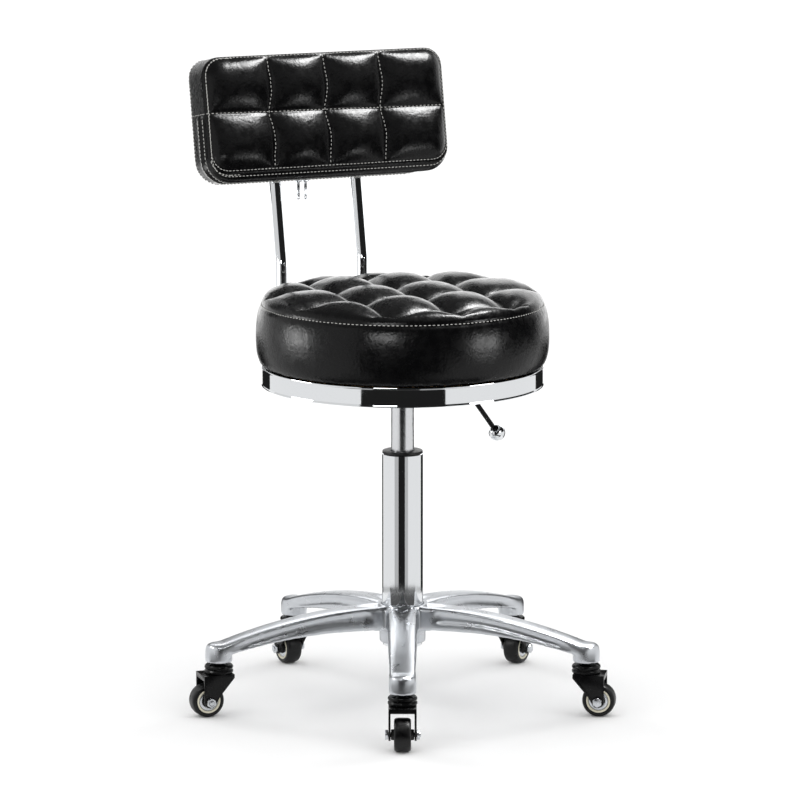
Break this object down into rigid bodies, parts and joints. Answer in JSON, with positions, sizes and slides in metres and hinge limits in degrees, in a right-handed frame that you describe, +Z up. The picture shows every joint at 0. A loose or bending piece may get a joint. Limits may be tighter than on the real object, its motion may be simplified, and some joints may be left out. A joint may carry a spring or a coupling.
{
  "type": "rolling stylist stool",
  "caption": "Rolling stylist stool: round tufted seat in a polished hoop, padded backrest on bent tubes, gas lift column and cast star base on swivel casters.",
  "frame": {"origin": "on the floor, under the middle of the whole stool's bounding box; the column axis stands at x 0.0153, y -0.0243", "axes": "+Z up; the sitter faces -Y and the backrest is at +Y; the height lever points to +X"},
  "size_m": [0.5038, 0.5412, 0.771],
  "materials": {
    "polished_aluminium": "polished cast aluminium",
    "chrome": "bright chrome plate",
    "zinc_steel": "bright zinc plated steel",
    "black_steel": "gloss black coated pressed steel",
    "black_nylon": "moulded black nylon",
    "tyre": "black polyurethane tread",
    "black_leather": "glossy black synthetic leather with white stitching",
    "plywood": "raw plywood"
  },
  "bodies": {
    "base": {"star_base": "polished_aluminium", "column_tube": "chrome", "guide_sleeve": "black_nylon", "thrust_bearing": "zinc_steel", "caster_stem_1": "black_steel", "caster_stem_2": "black_steel", "caster_stem_3": "black_steel", "caster_stem_4": "black_steel", "caster_stem_5": "black_steel"},
    "piston": {"piston_rod": "chrome", "thrust_washer": "zinc_steel", "retaining_clip": "black_steel"},
    "seat": {"lift_cylinder": "chrome", "lift_socket": "black_steel", "mechanism_plate": "black_steel", "lever_pin": "zinc_steel", "plate_bolt_1": "zinc_steel", "plate_bolt_2": "zinc_steel", "plate_bolt_3": "zinc_steel", "plate_bolt_4": "zinc_steel", "bracket_bolt_1": "zinc_steel", "bracket_bolt_2": "zinc_steel", "seat_board": "plywood", "seat_ring": "chrome", "seat_cushion": "black_leather", "back_post_left": "chrome", "back_post_right": "chrome", "post_bracket": "black_steel", "back_cushion": "black_leather", "back_board": "plywood"},
    "lever": {"lever_rod": "black_steel", "lever_ball": "chrome"},
    "valve": {"valve_pin": "zinc_steel"},
    "pull_left": {"zip_pull_left": "zinc_steel"},
    "pull_right": {"zip_pull_right": "zinc_steel"},
    "swivel_1": {"fork_1": "black_steel", "axle_bolt_1": "zinc_steel", "axle_nut_1": "zinc_steel"},
    "wheel_1": {"tyre_1": "tyre", "wheel_core_1": "black_nylon"},
    "swivel_2": {"fork_2": "black_steel", "axle_bolt_2": "zinc_steel", "axle_nut_2": "zinc_steel"},
    "wheel_2": {"tyre_2": "tyre", "wheel_core_2": "black_nylon"},
    "swivel_3": {"fork_3": "black_steel", "axle_bolt_3": "zinc_steel", "axle_nut_3": "zinc_steel"},
    "wheel_3": {"tyre_3": "tyre", "wheel_core_3": "black_nylon"},
    "swivel_4": {"fork_4": "black_steel", "axle_bolt_4": "zinc_steel", "axle_nut_4": "zinc_steel"},
    "wheel_4": {"tyre_4": "tyre", "wheel_core_4": "black_nylon"},
    "swivel_5": {"fork_5": "black_steel", "axle_bolt_5": "zinc_steel", "axle_nut_5": "zinc_steel"},
    "wheel_5": {"tyre_5": "tyre", "wheel_core_5": "black_nylon"}
  },
  "joints": [
    {"name": "seat_swivel", "type": "hinge", "parent": "base", "child": "piston", "pos_m": [0.0153, -0.0243, 0.08], "axis": [0, 0, 1], "continuous": true},
    {"name": "seat_lift", "type": "slide", "parent": "piston", "child": "seat", "axis": [0, 0, 1], "range_m": [-0.065, 0.05]},
    {"name": "lever_lift", "type": "hinge", "parent": "seat", "child": "lever", "pos_m": [0.0393, -0.0243, 0.4073], "axis": [0, -1, 0], "range_deg": [0, 7], "stiffness_Nm_per_rad": 1, "springref_deg": -11.46},
    {"name": "valve_press", "type": "slide", "parent": "seat", "child": "valve", "axis": [0, 0, 1], "range_m": [-0.0032, 0]},
    {"name": "caster_swivel_1", "type": "hinge", "parent": "base", "child": "swivel_1", "pos_m": [-0.08296, -0.23502, 0.06], "axis": [0, 0, 1], "continuous": true},
    {"name": "wheel_spin_1", "type": "hinge", "parent": "swivel_1", "child": "wheel_1", "pos_m": [-0.08972, -0.24952, 0.02], "axis": [0.9063, -0.4226, 0], "continuous": true},
    {"name": "caster_swivel_2", "type": "hinge", "parent": "base", "child": "swivel_2", "pos_m": [-0.21547, 0.00404, 0.06], "axis": [0, 0, 1], "continuous": true},
    {"name": "wheel_spin_2", "type": "hinge", "parent": "swivel_2", "child": "wheel_2", "pos_m": [-0.23143, 0.00515, 0.02], "axis": [-0.0698, -0.9976, 0], "continuous": true},
    {"name": "caster_swivel_3", "type": "hinge", "parent": "base", "child": "swivel_3", "pos_m": [-0.02906, 0.20393, 0.06], "axis": [0, 0, 1], "continuous": true},
    {"name": "wheel_spin_3", "type": "hinge", "parent": "swivel_3", "child": "wheel_3", "pos_m": [-0.03018, 0.21989, 0.02], "axis": [-0.9976, -0.0698, 0], "continuous": true},
    {"name": "caster_swivel_4", "type": "hinge", "parent": "base", "child": "swivel_4", "pos_m": [0.21865, 0.08842, 0.06], "axis": [0, 0, 1], "continuous": true},
    {"name": "wheel_spin_4", "type": "hinge", "parent": "swivel_4", "child": "wheel_4", "pos_m": [0.23159, 0.09782, 0.02], "axis": [-0.5878, 0.809, 0], "continuous": true},
    {"name": "caster_swivel_5", "type": "hinge", "parent": "base", "child": "swivel_5", "pos_m": [0.18534, -0.18286, 0.06], "axis": [0, 0, 1], "continuous": true},
    {"name": "wheel_spin_5", "type": "hinge", "parent": "swivel_5", "child": "wheel_5", "pos_m": [0.19845, -0.19204, 0.02], "axis": [0.5736, 0.8192, 0], "continuous": true},
    {"name": "pull_swing_right", "type": "hinge", "parent": "seat", "child": "pull_right", "pos_m": [-0.0165, 0.21342, 0.60811], "axis": [1, 0, 0], "range_deg": [-50, 50]},
    {"name": "pull_swing_left", "type": "hinge", "parent": "seat", "child": "pull_left", "pos_m": [-0.0069, 0.21342, 0.60811], "axis": [1, 0, 0], "range_deg": [-50, 50]}
  ],
  "couplings": [
    {"joint": "valve_press", "follows": "lever_lift", "m_per_rad": -0.024}
  ]
}
